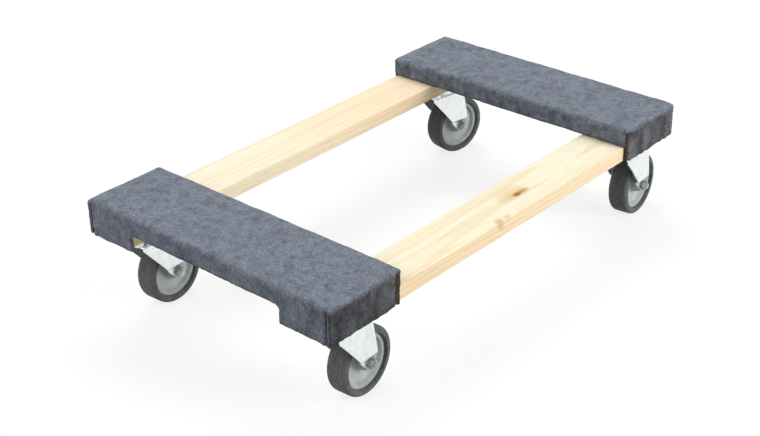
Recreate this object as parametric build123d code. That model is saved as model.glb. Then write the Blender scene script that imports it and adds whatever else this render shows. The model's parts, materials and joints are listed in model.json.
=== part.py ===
from build123d import *
import os
from math import ceil, cos, pi, radians, sin

# Open-deck carpet dolly: two flat rails, an end board across each end of them, a carpet cover on
# each end board and a plate caster under each crossing. Millimetres, +Z up. The origin is on the
# floor under the middle of the deck, +X runs along the rails to the back end, +Y to the left rail.

# Timber
wood_t = 23.8               # planed thickness of rails and end boards
rail_length = 777.0
rail_width = 76.2
board_length = 447.0        # end board, across the dolly
board_width = 122.0         # end board, along the rails
wood_edge_r = 2.5           # eased arris

# Carpet covers
carpet_t = 5.2
carpet_top_r = 4.5          # round along the top edges
carpet_corner_r = 4.0       # round down the four upright corners
hem_lift = 2.7              # cut edge above the lower arris of an end board
tab_overlap = 5.2           # flap over a rail's end, past the rail's inner side
notch_corner_r = 9.0        # round in the upper corners of the notch between the flaps

# Staples through the carpet into the wood
staple_width = 11.0
staple_wire = 1.1
staple_depth = 12.0
staple_sink = 1.2           # crown below the carpet's face
staple_rise = 7.0           # above the cut edge of the carpet
staple_pitch = 55.0         # greatest spacing along an edge
staple_end = 14.0           # from the end of an edge to its first staple

# Wood screws that hold each crossing together
screw_r = 2.4
screw_head_r = 4.7
screw_head_h = 3.2
screw_length = 38.0
screw_point = 6.0
screw_x = 14.0              # from the middle of the crossing
screw_y = 24.0
wood_clear = 0.15           # round screws and bolts in the timber

# Carriage bolts that hold a caster plate under a crossing, with a square neck as wide as the shank
bolt_r = 4.0
bolt_spacing_x = 73.0
bolt_spacing_y = 44.5
bolt_head_r = 9.6
bolt_head_h = 4.2
bolt_neck_h = 5.0
bolt_sink = 4.6             # counterbore in the top of the end board
bolt_end = 1.0              # thread past the nut
washer_r = 8.0
washer_t = 1.6
nut_flats = 13.0
nut_h = 6.5
hex_chamfer = 0.8           # corners turned off heads and nuts
thread_clear = 0.05
plate_hole_clear = 0.35

# Caster
caster_head = 35.5          # top of the wheel to the underside of the rails
wheel_radius = 50.0
wheel_width = 32.0
trail = 33.0                # swivel axis to axle
plate_length = 92.0
plate_width = 64.0
plate_t = 3.0
plate_corner_r = 9.0
fork_t = 2.6
race_gap = 4.0              # plate to fork, and fork to lower race cap

# Kingpin and ball races
kingpin_r = 5.5
kingpin_head_r = 8.0
kingpin_head_h = 2.0
rivet_head_r = 9.5
rivet_head_h = 4.0
rivet_round = 2.0
swivel_clear = 0.08
ball_r = 3.0
ball_clear = 0.3            # ball to track
ball_gap = 1.6              # least space between neighbours
upper_race_r = 17.0
lower_race_r = 12.5
race_cap_r = 17.5
race_cap_t = 2.5
race_cap_round = 0.8
cup_r = 25.0                # pressed cup in the fork's crown
cup_rise = 7.0              # cup above the fork's shoulders
cup_round = 2.0

# Fork
crown_front = 35.0          # ahead of the swivel axis
crown_back = 30.0           # behind it
crown_depth = 6.0           # upright part of the crown's edge
crown_bend_r = 4.5
crown_corner_r = 6.0
wing_clear = 8.4            # tread to the upper, wider part of a leg, each side
leg_clear = 1.5             # tread to the lower end of a leg, each side
joggle_rise = 10.0          # legs start to step out this far above the axle
joggle_height = 7.0
joggle_r = 3.6
leg_end_r = 10.0            # round end about the axle

# Axle
axle_r = 4.0
axle_hole_clear = 0.2
sleeve_r = 6.0
sleeve_clear = 0.12
axle_head_h = 5.3
axle_nut_h = 7.5
collar_h = 2.1              # round collar of the locking nut
collar_inset = 0.6
collar_round = 1.0
axle_end = 1.5              # thread past the axle nut
bore_clear = 0.06           # wheel on the sleeve

# Wheel
hub_r = 11.5
hub_clear = 0.3             # hub to fork leg, each side
tread_t = 10.7              # radial thickness of the tread
core_rim = 4.5              # radial thickness of the core's rim
core_inset = 5.0            # rim inside the tread's side
web_dish = 6.0              # web inside the rim's side
hub_taper = 3.0
key_h = 2.0                 # rib of the core that locks the tread
key_half_width = 5.0
tread_side = 1.5            # chamfer from the core's rim to the tread's side
tread_shoulder_r = 5.5
core_edge_r = 1.2

# Caster name: its end and side of the dolly, and its heading in the photographed pose, degrees
casters = {
    "front_right": (-1, -1, 3.0),
    "front_left": (-1, 1, 3.0),
    "back_left": (1, 1, -10.0),
    "back_right": (1, -1, 5.0),
}

# Working allowances
over = 1.0                  # a cutting shape runs this far past what it cuts
near = 0.001                # sizes closer than this are the same

# Levels and places that follow from these
caster_height = 2 * wheel_radius + caster_head
rail_bottom = caster_height
rail_top = rail_bottom + wood_t
board_top = rail_top + wood_t
rail_y = board_length / 2 - rail_width / 2
board_x = rail_length / 2 - board_width / 2
hem_level = rail_top + hem_lift
cover_length = board_width + 2 * carpet_t
cover_width = board_length + 2 * carpet_t
notch = rail_y - rail_width / 2 - tab_overlap
plate_bottom = caster_height - plate_t
cup_top = plate_bottom - race_gap
cup_bottom = cup_top - fork_t
cap_top = cup_bottom - race_gap
cap_bottom = cap_top - race_cap_t
shoulder = cup_top - cup_rise
upper_ball_z = plate_bottom - race_gap / 2
lower_ball_z = cup_bottom - race_gap / 2
groove_r = ball_r + ball_clear
leg_inside = wheel_width / 2 + leg_clear
leg_outside = leg_inside + fork_t
crown_half_width = wheel_width / 2 + wing_clear + fork_t
bore_r = sleeve_r + bore_clear
core_r = wheel_radius - tread_t
key_r = core_r + key_h
core_half_width = wheel_width / 2 - core_inset
web_half_width = core_half_width - web_dish
nut_bottom = plate_bottom - washer_t - nut_h


def block(x_range, y_range, z_range):
    """A box from its least to its greatest X, Y and Z."""
    low, high = zip(x_range, y_range, z_range)
    size = [b - a for a, b in zip(low, high)]
    middle = [(a + b) / 2 for a, b in zip(low, high)]
    return Pos(*middle) * Box(*size)


def disc(radius, bottom, top):
    """An upright cylinder on the Z axis between two levels."""
    return Pos(0, 0, (bottom + top) / 2) * Cylinder(radius, top - bottom)


def turned(points):
    """A solid turned about the Z axis from an outline of (radius, level) points."""
    outline = make_face(Polyline(*points, close=True))
    return revolve(Plane.XZ * outline, Axis.Z)


def hexagon(flats, bottom, top):
    """A hexagon head or nut blank on the Z axis, with the corners turned off at both ends."""
    prism = Pos(0, 0, bottom) * extrude(RegularPolygon(flats / 2, 6, major_radius=False), top - bottom)
    outside = disc(flats / 2 + hex_chamfer, bottom, top)
    outside = chamfer(outside.edges().filter_by(GeomType.CIRCLE), hex_chamfer)
    return prism & outside


def crossings():
    """The middle of each rail and end board crossing, by caster name."""
    return {name: (end * board_x, side * rail_y) for name, (end, side, _) in casters.items()}


def bolt_places():
    """The caster bolt axes, four to a plate."""
    pattern = [(i * bolt_spacing_x / 2, j * bolt_spacing_y / 2) for i in (-1, 1) for j in (-1, 1)]
    return [(x + dx, y + dy) for x, y in crossings().values() for dx, dy in pattern]


def screw_places():
    """The two screw axes of each crossing, on its diagonal."""
    return [(x + i * screw_x, y + i * screw_y) for x, y in crossings().values() for i in (-1, 1)]


def screw(grow=0.0):
    """A countersunk wood screw, point down, flush with the top of the end board."""
    tip = board_top - screw_length
    radius = screw_r + grow
    head_r = screw_head_r + grow
    return turned([(0, tip - grow), (radius, tip + screw_point), (radius, board_top - screw_head_h),
                   (head_r, board_top), (0, board_top)])


def bolt():
    """A carriage bolt: domed head, square neck and shank down through the plate and nut."""
    seat = board_top - bolt_sink
    crown_r = (bolt_head_r ** 2 + bolt_head_h ** 2) / (2 * bolt_head_h)
    ball = Pos(0, 0, seat + bolt_head_h - crown_r) * Sphere(crown_r)
    head = ball & disc(bolt_head_r + over, seat, seat + bolt_head_h)
    neck = block((-bolt_r, bolt_r), (-bolt_r, bolt_r), (seat - bolt_neck_h, seat))
    return head + neck + disc(bolt_r, nut_bottom - bolt_end, seat)


def bolt_hole():
    """What a carriage bolt's hole takes out of the timber."""
    seat = board_top - bolt_sink
    half = bolt_r + wood_clear
    bore = disc(half, rail_bottom - over, board_top)
    neck = block((-half, half), (-half, half), (seat - bolt_neck_h - wood_clear, seat))
    return bore + neck + disc(bolt_head_r + wood_clear, seat, board_top + over)


def drilled(timber, side=None, end=None):
    """Timber with the bolt and screw holes of its own side or end of the dolly."""
    for places, hole in ((bolt_places(), bolt_hole()), (screw_places(), screw(wood_clear))):
        for x, y in places:
            if (side is None or side * y > 0) and (end is None or end * x > 0):
                timber -= Pos(x, y, 0) * hole
    return timber


def rail(side):
    """A rail with eased long edges, on the left (side 1) or right (side -1)."""
    y = side * rail_y
    half = rail_width / 2
    plank = block((-rail_length / 2, rail_length / 2), (y - half, y + half), (rail_bottom, rail_top))
    plank = fillet(plank.edges().filter_by(Axis.X), wood_edge_r)
    return drilled(plank, side=side)


def end_board(end):
    """An end board with eased long edges, at the front (end -1) or back (end 1)."""
    x = end * board_x
    half = board_width / 2
    plank = block((x - half, x + half), (-board_length / 2, board_length / 2), (rail_top, board_top))
    plank = fillet(plank.edges().filter_by(Axis.Y), wood_edge_r)
    return drilled(plank, end=end)


def carpet(end):
    """A carpet cover: over the end board, down its long edges, and over the rails' ends and sides."""
    half_x, half_y = cover_length / 2, cover_width / 2
    below = rail_bottom - over
    cover = block((-half_x, half_x), (-half_y, half_y), (rail_bottom, board_top + carpet_t))
    cover = fillet(cover.edges().filter_by(Axis.Z), carpet_corner_r)
    cover = fillet(cover.faces().sort_by(Axis.Z)[-1].edges(), carpet_top_r)
    inside_x, inside_y = board_width / 2, board_length / 2
    cover -= block((-inside_x, inside_x), (-inside_y, inside_y), (below, board_top))
    gap = block((-half_x - over, 0), (-notch, notch), (below, hem_level))
    cover -= fillet(gap.edges().filter_by(Axis.X).group_by(Axis.Z)[-1], notch_corner_r)
    cover -= block((0, half_x + over), (-inside_y, inside_y), (below, hem_level))
    turn = 0 if end < 0 else 180
    return Pos(end * board_x, 0, 0) * Rot(0, 0, turn) * cover


def spaced(low, high):
    """Evenly spaced staple places along an edge, at most a pitch apart."""
    first, last = low + staple_end, high - staple_end
    steps = ceil((last - first) / staple_pitch)
    return [first + (last - first) * i / steps for i in range(steps + 1)]


def staple(place, along, out):
    """A wire staple with its crown along one way, driven in against another."""
    half, wire = staple_width / 2, staple_wire
    crown = block((-half, half), (-wire / 2, wire / 2), (-staple_sink - wire, -staple_sink))
    leg = block((-half, -half + wire), (-wire / 2, wire / 2), (-staple_sink - staple_depth, -staple_sink))
    shape = crown + leg + Pos(staple_width - wire, 0, 0) * leg
    return Plane(origin=place, x_dir=along, z_dir=out) * shape


def staples():
    """The staples of both covers, along every cut edge."""
    made = []
    half_x, half_y = cover_length / 2, cover_width / 2
    high, low = hem_level + staple_rise, rail_bottom + staple_rise
    for end in (-1, 1):
        outer, inner = end * (board_x + half_x), end * (board_x - half_x)
        for y in spaced(-half_y, half_y):
            made.append(staple((inner, y, high), (0, 1, 0), (-end, 0, 0)))
        for y in spaced(-notch, notch):
            made.append(staple((outer, y, high), (0, 1, 0), (end, 0, 0)))
        for side in (-1, 1):
            for y in spaced(notch, half_y):
                made.append(staple((outer, side * y, low), (0, 1, 0), (end, 0, 0)))
            for x in spaced(board_x - half_x, board_x + half_x):
                made.append(staple((end * x, side * half_y, low), (1, 0, 0), (0, side, 0)))
    return Compound(children=made)


def ring_of_balls(race_r, level):
    """The balls of one race, as many as go round it."""
    count = int(2 * pi * race_r / (2 * ball_r + ball_gap))
    step = radians(360 / count)
    places = [(race_r * cos(i * step), race_r * sin(i * step), level) for i in range(count)]
    return Compound(children=[Pos(*place) * Sphere(ball_r) for place in places])


def groove(race_r, level):
    """The ball track of one race."""
    return Pos(0, 0, level) * Torus(race_r, groove_r)


def kingpin(grow=0.0):
    """The riveted pin: flush head in the plate, shank, and a formed head under the lower race."""
    radius = kingpin_r + grow
    top = caster_height
    pin = turned([(0, cap_bottom), (radius, cap_bottom), (radius, top - kingpin_head_h),
                  (kingpin_head_r + grow, top), (0, top)])
    rivet = disc(rivet_head_r, cap_bottom - rivet_head_h, cap_bottom)
    return pin + fillet(rivet.edges().group_by(Axis.Z)[0], rivet_round)


def top_plate():
    """The caster's mounting plate, with its bolt holes and the upper ball track."""
    half_x, half_y = plate_length / 2, plate_width / 2
    plate = block((-half_x, half_x), (-half_y, half_y), (plate_bottom, caster_height))
    plate = fillet(plate.edges().filter_by(Axis.Z), plate_corner_r)
    hole = disc(bolt_r + plate_hole_clear, plate_bottom - over, caster_height + over)
    for i in (-1, 1):
        for j in (-1, 1):
            plate -= Pos(i * bolt_spacing_x / 2, j * bolt_spacing_y / 2, 0) * hole
    return plate - kingpin(thread_clear) - groove(upper_race_r, upper_ball_z)


def race_cap():
    """The lower race, riveted to the kingpin under the fork."""
    cap = disc(race_cap_r, cap_bottom, cap_top)
    cap = fillet(cap.edges().group_by(Axis.Z)[0], race_cap_round)
    hole = disc(kingpin_r + thread_clear, cap_bottom - over, cap_top + over)
    return cap - hole - groove(lower_race_r, lower_ball_z)


def fork():
    """The pressed fork: a cupped crown and two wide legs that step in to the hub just above the axle."""
    low = wheel_radius - leg_end_r - 2 * fork_t
    step_low = wheel_radius + joggle_rise
    step_high = step_low + joggle_height
    across = [(leg_outside, low), (leg_outside, step_low), (crown_half_width, step_high),
              (crown_half_width, shoulder)]
    outline = across + [(-y, z) for y, z in reversed(across)]
    section = make_face(Polyline(*outline, close=True))
    bends = section.vertices().filter_by(lambda v: step_low - near < v.Y < step_high + near)
    section = fillet(bends, joggle_r)
    corners = section.vertices().filter_by(lambda v: v.Y > shoulder - near)
    section = fillet(corners, crown_bend_r)
    walls = section - offset(section, -fork_t)
    reach = crown_front + crown_back + trail
    bent = extrude(Plane.YZ * walls, reach, both=True)

    crown_low = shoulder - crown_depth
    crown = Polyline((-crown_front, crown_low), (crown_back, crown_low), (crown_back, shoulder),
                     (-crown_front, shoulder), close=True)
    leg_end = Pos(trail, wheel_radius) * Circle(leg_end_r)
    side_view = make_hull(crown.edges() + leg_end.edges())
    body = bent & extrude(Plane.XZ * side_view, crown_half_width + over, both=True)
    length = crown_front + trail + leg_end_r
    middle = (trail + leg_end_r - crown_front) / 2
    plan = Pos(middle, 0) * RectangleRounded(length, 2 * crown_half_width, crown_corner_r)
    body = body & extrude(plan, 2 * shoulder)

    body -= disc(cup_r - fork_t, shoulder - fork_t - over, shoulder + over)
    cup = disc(cup_r, shoulder - fork_t, cup_top)
    cup = fillet(cup.edges().group_by(Axis.Z)[-1], cup_round)
    cup -= disc(cup_r - fork_t, shoulder - fork_t - over, cup_bottom)
    body += cup
    body -= disc(kingpin_r + swivel_clear, cup_bottom - over, cup_top + over)
    body -= groove(upper_race_r, upper_ball_z)
    body -= groove(lower_race_r, lower_ball_z)
    return body - on_axle(disc(axle_r + axle_hole_clear, -crown_half_width, crown_half_width))


def on_axle(shape):
    """A shape made along the Z axis, laid along the axle with its top to the right."""
    return Pos(trail, 0, wheel_radius) * Rot(90, 0, 0) * shape


def axle_sleeve():
    """The tube that the wheel turns on, clamped between the legs."""
    half = leg_inside
    return disc(sleeve_r, -half, half) - disc(axle_r + sleeve_clear, -half - over, half + over)


def axle_bolt():
    """The axle: a hexagon bolt through both legs."""
    head = hexagon(nut_flats, -leg_outside - axle_head_h, -leg_outside)
    return head + disc(axle_r, -leg_outside, leg_outside + axle_nut_h + axle_end)


def axle_nut():
    """A locking nut with a round collar, outside the right leg."""
    top = leg_outside + axle_nut_h
    waist = top - collar_h
    collar = disc(nut_flats / 2 - collar_inset, waist, top)
    nut = hexagon(nut_flats, leg_outside, waist)
    nut += fillet(collar.edges().group_by(Axis.Z)[-1], collar_round)
    return nut - disc(axle_r + thread_clear, leg_outside - over, top + over)


def wheel_core():
    """The moulded core: hub, dished web, rim and the rib that locks the tread."""
    hub_half = leg_inside - hub_clear
    rim_r = core_r - core_rim
    half = [(bore_r, hub_half), (hub_r, hub_half), (hub_r + hub_taper, web_half_width),
            (rim_r - hub_taper, web_half_width), (rim_r, core_half_width), (core_r, core_half_width),
            (core_r, key_half_width), (key_r, key_half_width)]
    core = turned(half + [(r, -z) for r, z in reversed(half)])
    edges = core.edges().filter_by(GeomType.CIRCLE)
    soft = edges.filter_by(lambda e: bore_r + near < e.radius < core_r - near)
    return fillet(soft, core_edge_r)


def wheel_tread():
    """The soft tread, moulded round the core's rim."""
    half = [(key_r, key_half_width), (core_r, key_half_width), (core_r, core_half_width),
            (core_r + tread_side, wheel_width / 2), (wheel_radius, wheel_width / 2)]
    tread = turned(half + [(r, -z) for r, z in reversed(half)])
    edges = tread.edges().filter_by(GeomType.CIRCLE)
    return fillet(edges.filter_by(lambda e: e.radius > wheel_radius - near), tread_shoulder_r)


def main():
    """Write every node of the dolly."""
    nodes = {
        "left_rail": rail(1),
        "right_rail": rail(-1),
        "front_end_board": end_board(-1),
        "back_end_board": end_board(1),
        "front_carpet": carpet(-1),
        "back_carpet": carpet(1),
        "frame_screws": Compound(children=[Pos(x, y, 0) * screw() for x, y in screw_places()]),
        "carpet_staples": staples(),
        "caster_bolts": Compound(children=[Pos(x, y, 0) * bolt() for x, y in bolt_places()]),
    }
    hole = disc(bolt_r + thread_clear, nut_bottom - over, plate_bottom + over)
    washer = disc(washer_r, plate_bottom - washer_t, plate_bottom) - hole
    nut = hexagon(nut_flats, nut_bottom, nut_bottom + nut_h) - hole
    for name, shape in (("caster_washers", washer), ("caster_nuts", nut)):
        nodes[name] = Compound(children=[Pos(x, y, 0) * shape for x, y in bolt_places()])

    fixed = {
        "top_plate": top_plate(),
        "kingpin": kingpin(),
        "race_cap": race_cap(),
        "upper_balls": ring_of_balls(upper_race_r, upper_ball_z),
        "lower_balls": ring_of_balls(lower_race_r, lower_ball_z),
    }
    swivelled = {
        "fork": fork(),
        "axle_sleeve": on_axle(axle_sleeve()),
        "axle_bolt": on_axle(axle_bolt()),
        "axle_nut": on_axle(axle_nut()),
        "wheel_core": on_axle(wheel_core()),
        "wheel_tread": on_axle(wheel_tread()),
    }
    for name, (x, y) in crossings().items():
        heading = casters[name][2]
        for kind, shape in fixed.items():
            nodes[f"{kind}_{name}"] = Pos(x, y, 0) * shape
        for kind, shape in swivelled.items():
            nodes[f"{kind}_{name}"] = Pos(x, y, 0) * Rot(0, 0, heading) * shape

    os.makedirs("parts", exist_ok=True)
    for name, shape in nodes.items():
        export_step(shape, f"parts/{name}.step")
    print(len(nodes), "nodes written")


main()
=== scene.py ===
# %% [markdown]
# # A carpet dolly
# A carpet dolly is a low, open deck on four swivel casters: two rails, an end board across each end of
# them, and carpet over the boards so that what is moved neither slips nor gets scratched. Timber, casters,
# bolts and bearings come from a finished CAD model, in metres and in their places. What is left for
# Blender is what the eye meets first: the carpet covers, which are soft and have to be modelled again,
# and the finish of every surface.

import json
import math

import bmesh
import bpy
from mathutils import Matrix, Vector


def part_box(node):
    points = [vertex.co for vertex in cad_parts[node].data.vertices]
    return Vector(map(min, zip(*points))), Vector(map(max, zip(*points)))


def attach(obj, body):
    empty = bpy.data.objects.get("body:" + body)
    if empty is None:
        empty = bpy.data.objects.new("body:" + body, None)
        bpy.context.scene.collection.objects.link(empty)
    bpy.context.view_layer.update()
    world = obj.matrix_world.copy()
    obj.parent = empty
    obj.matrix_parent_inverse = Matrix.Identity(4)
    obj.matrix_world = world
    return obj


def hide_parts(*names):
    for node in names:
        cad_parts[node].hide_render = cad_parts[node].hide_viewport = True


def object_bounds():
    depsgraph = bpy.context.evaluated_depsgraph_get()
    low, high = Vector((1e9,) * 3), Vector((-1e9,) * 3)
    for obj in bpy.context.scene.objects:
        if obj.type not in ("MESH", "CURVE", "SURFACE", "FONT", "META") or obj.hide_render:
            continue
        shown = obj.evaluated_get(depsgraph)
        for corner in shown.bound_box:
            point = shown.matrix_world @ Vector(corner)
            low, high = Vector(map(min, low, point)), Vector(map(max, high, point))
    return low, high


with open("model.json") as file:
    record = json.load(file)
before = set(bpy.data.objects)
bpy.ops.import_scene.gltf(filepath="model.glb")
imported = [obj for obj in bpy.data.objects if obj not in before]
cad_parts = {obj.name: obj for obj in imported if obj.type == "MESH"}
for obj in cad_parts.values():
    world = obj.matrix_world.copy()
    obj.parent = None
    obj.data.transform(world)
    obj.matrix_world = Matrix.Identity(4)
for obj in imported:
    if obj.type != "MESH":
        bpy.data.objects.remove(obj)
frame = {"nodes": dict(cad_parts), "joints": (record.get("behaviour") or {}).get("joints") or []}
nodes = frame["nodes"]
cad_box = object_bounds()
MM = 0.001
bpy.ops.object.select_all(action="DESELECT")
print(len(nodes), "CAD nodes in a box of", [round(x, 3) for x in cad_box[1] - cad_box[0]], "metres")

# %% [markdown]
# ## Camera
# A camera can be placed by eye, or worked out from the photograph: the rails and boards are straight and
# square, so their corners fix where it stood. Working it out is better here, because then every later
# difference between render and photograph is a difference of shape or finish.

# %% Place the camera
AZIMUTH, ELEVATION, ROLL = (math.radians(angle) for angle in (-48.37, 28.41, -1.10))
STANDS_AT = (-1.4832, -1.2816, 1.1328)  # metres
LENS, SENSOR = 70.13, 36.0  # mm

level_x, level_y = math.sin(AZIMUTH), -math.cos(AZIMUTH)
back = Vector((level_x * math.cos(ELEVATION), level_y * math.cos(ELEVATION), math.sin(ELEVATION)))
right = Vector((math.cos(AZIMUTH), math.sin(AZIMUTH), 0))
turn = Matrix((right, back.cross(right), back)).transposed() @ Matrix.Rotation(ROLL, 3, "Z")
bpy.ops.object.camera_add(location=STANDS_AT, rotation=turn.to_euler())
camera = bpy.context.object
camera.data.lens, camera.data.sensor_width = LENS, SENSOR
bpy.context.scene.camera = camera
print("camera looks along", [round(-x, 3) for x in back])

# %% [markdown]
# ## Colours and nodes
# Every finish below is a small tree of nodes, which could be clicked together in the shader editor. In a
# script one helper is enough: it adds a node, sets its values and links it. Another turns the hex colours
# that a paint chart would give into the linear values that light needs.

# %% Colours
def linear(hex_colour):
    """An sRGB hex colour as linear red, green, blue and alpha."""
    parts = [int(hex_colour[i:i + 2], 16) / 255 for i in (1, 3, 5)]
    return [c / 12.92 if c <= 0.04045 else ((c + 0.055) / 1.055) ** 2.4 for c in parts] + [1.0]


print("the grey #808080 is", round(linear("#808080")[0], 3), "in linear light")

# %% Nodes
SHARE, UNDER, OVER = 0, 6, 7  # sockets of a Mix node that takes two colours
BLEND = {"out": 2, "data_type": "RGBA"}
TINT = {**BLEND, "blend_type": "MULTIPLY"}


def node(tree, kind, sockets={}, out=0, ramp=None, **properties):
    """Add a node: sockets are values or links by name or number, ramp is its colour stops."""
    made = tree.nodes.new("ShaderNode" + kind)
    for name, value in properties.items():
        setattr(made, name, value)
    for name, value in sockets.items():
        if isinstance(value, bpy.types.NodeSocket):
            tree.links.new(value, made.inputs[name])
        else:
            made.inputs[name].default_value = value
    if ramp:
        stops = made.color_ramp.elements
        while len(stops) < len(ramp):
            stops.new(1.0)
        for stop, (place, colour) in zip(stops, ramp):
            stop.position, stop.color = place, linear(colour)
    return made.outputs[out] if made.outputs else None


print("colours mix by", sorted(BLEND), "and tint by", sorted(TINT))

# %% Empty finishes, and real sizes
def finish(name):
    """A new material with an empty tree, and the tree."""
    material = bpy.data.materials.new(name)
    material.use_nodes = True
    material.node_tree.nodes.clear()
    return material, material.node_tree


def per_metre(size_mm):
    """Texture scale for features of a size in millimetres, as object coordinates are in metres."""
    return 1000 / size_mm


print("a grain of 1 mm has a texture scale of", per_metre(1))

# %% [markdown]
# ## White surround
# A studio is white all round, and bright metal shows that. An evenly white world would give both the
# background and the mirror images, but it would also light the object flatly from all sides. So the world
# is white only where the camera, a mirror or glass looks straight at it, and dimmer as a light. A path
# that has been scattered once counts as light, which keeps the undersides dark.

# %% White surround
AMBIENT = 0.25  # brightness of the surround as a light


def looked_at(tree):
    """1 where the camera, a mirror or glass looks straight at a surface, 0 or less where light falls on it."""
    direct = node(tree, "LightPath", out="Is Camera Ray")
    for way in ("Is Glossy Ray", "Is Transmission Ray"):
        other = node(tree, "LightPath", out=way)
        direct = node(tree, "Math", {0: direct, 1: other}, operation="MAXIMUM")
    scattered = node(tree, "LightPath", out="Diffuse Depth")
    return node(tree, "Math", {0: direct, 1: scattered}, operation="SUBTRACT")


scene = bpy.context.scene
scene.view_settings.view_transform = "Standard"
scene.world = bpy.data.worlds.new("white surround")
scene.world.use_nodes = True
sky = scene.world.node_tree
sky.nodes.clear()
strength = node(sky, "MapRange", {"Value": looked_at(sky), "To Min": AMBIENT})
backdrop = node(sky, "Background", {"Color": (1, 1, 1, 1), "Strength": strength})
node(sky, "OutputWorld", {"Surface": backdrop})
print("surround at 1 to look at, and at", AMBIENT, "as a light")

# %% [markdown]
# ## Lamps
# Three soft boxes light the dolly: the key over its far left corner makes the tops the brightest faces, one
# before it lifts the near carpet, and one to its right the rails and wheels. A sun or a spot would be
# simpler, but only a large lamp blurs the shadows like a studio. The side lamp is left out of mirror
# images, because the upright forks would show it as a glaring square.

# %% Lamps
def softbox(name, place, size, watts, mirrored=True):
    """A square area lamp that faces the middle of the deck, and shows in metal or not."""
    bpy.ops.object.light_add(type="AREA", location=place)
    lamp = bpy.context.object
    lamp.name = name
    lamp.data.shape, lamp.data.size, lamp.data.energy = "SQUARE", size, watts
    lamp.rotation_euler = Vector(place).to_track_quat("Z", "Y").to_euler()
    lamp.visible_glossy = mirrored
    return lamp


lamps = [softbox("key", (0.7, 1.1, 2.2), 1.5, 31.5),
         softbox("front", (-2.0, 0.2, 1.7), 1.4, 24),
         softbox("side", (0.9, -2.5, 0.95), 1.4, 58, mirrored=False)]
print(len(lamps), "lamps,", sum(lamp.data.energy for lamp in lamps), "watts in all")

# %% [markdown]
# ## Paper sweep
# The dolly stands on white paper, which has to be white in the picture and yet keep a faint shadow. Stronger
# lamps would whiten it, but they would bleach the timber. So what the camera sees, straight or in metal, is
# mostly glow and partly lit paper, and further off, where no shadow falls, it is all glow. What the paper
# throws back under the deck is less than white, so that the casters keep their dark corners. Seen from below
# it is clear.

# %% Paper sweep
SHADOW_SHARE, BOUNCE = 0.24, 0.46  # share of lit paper under the deck, and what the paper throws back
SHADOW_ENDS = 0.5, 1.1  # metres from the middle of the deck: from here, and to here
PAPER, GLOW = 0.98, 1.04  # whiteness of the lit paper, and strength of the glow
SWEEP = 24  # metres each way, so that its edge is never in the picture

bpy.ops.mesh.primitive_plane_add(size=SWEEP)
floor = bpy.context.object
floor.name = "floor"
sweep, tree = finish("white paper sweep")
away = node(tree, "TexCoord", out="Object")
away = node(tree, "VectorMath", {0: away}, out="Value", operation="LENGTH")
glowing = node(tree, "MapRange", {"Value": away, "From Min": SHADOW_ENDS[0], "From Max": SHADOW_ENDS[1],
                                  "To Min": 1 - SHADOW_SHARE})
share = node(tree, "Math", {0: looked_at(tree), 1: glowing}, operation="MULTIPLY", use_clamp=True)
white = node(tree, "MapRange", {"Value": looked_at(tree), "To Min": BOUNCE, "To Max": PAPER})
lit = node(tree, "BsdfDiffuse", {"Color": white})
glow = node(tree, "Emission", {"Color": (1, 1, 1, 1), "Strength": GLOW})
paper = node(tree, "MixShader", {0: share, 1: lit, 2: glow})
below = node(tree, "NewGeometry", out="Backfacing")
paper = node(tree, "MixShader", {0: below, 1: paper, 2: node(tree, "BsdfTransparent")})
node(tree, "OutputMaterial", {"Surface": paper})
floor.data.materials.append(sweep)
print("floor of", [round(x) for x in floor.dimensions[:2]], "metres in", sweep.name)

# %% [markdown]
# ## Carpet finish
# The covers are needle-punched carpet: short polyester fibres of several greys, felted into a low, dense
# pile. Seen close it is a tangle of light and dark fibres, and from a step away a soft blue-grey mottle.
# Hair particles could grow that pile, but millions of them would be too heavy for a part. So the colour
# is built in two sizes, fibres and mottle, the bump follows the fibres, and the mesh gets its tufts later.

# %% Felted fibres
FIBRE_WIDE, FIBRE_LONG = 1.1, 5.0  # mm; real fibres are 0.05 mm thick, drawn coarse to show
FIBRE_WAYS = 15, 75, 135  # degrees; felting leaves fibres lying all ways


def felted_fibres(tree, place):
    """A tangle of strands: at each place the uppermost of three layers that lie different ways."""
    tangle = None
    for way in FIBRE_WAYS:
        turned = node(tree, "Mapping", {"Vector": place, "Rotation": [math.radians(way)] * 3})
        drawn = node(tree, "Mapping", {"Vector": turned, "Scale": (FIBRE_WIDE / FIBRE_LONG, 1, 1)})
        layer = node(tree, "TexNoise", {"Vector": drawn, "Scale": per_metre(FIBRE_WIDE), "Detail": 2.0,
                                        "Roughness": 0.6})
        tangle = layer if tangle is None else node(tree, "Math", {0: tangle, 1: layer}, operation="MAXIMUM")
    return tangle


print("fibres drawn", FIBRE_LONG, "by", FIBRE_WIDE, "mm,", len(FIBRE_WAYS), "layers")

# %% Heather of greys
MOTTLE, FLECK = 13.0, 14.0  # mm; patches of denser felt, and of bluer and warmer fibres


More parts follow.
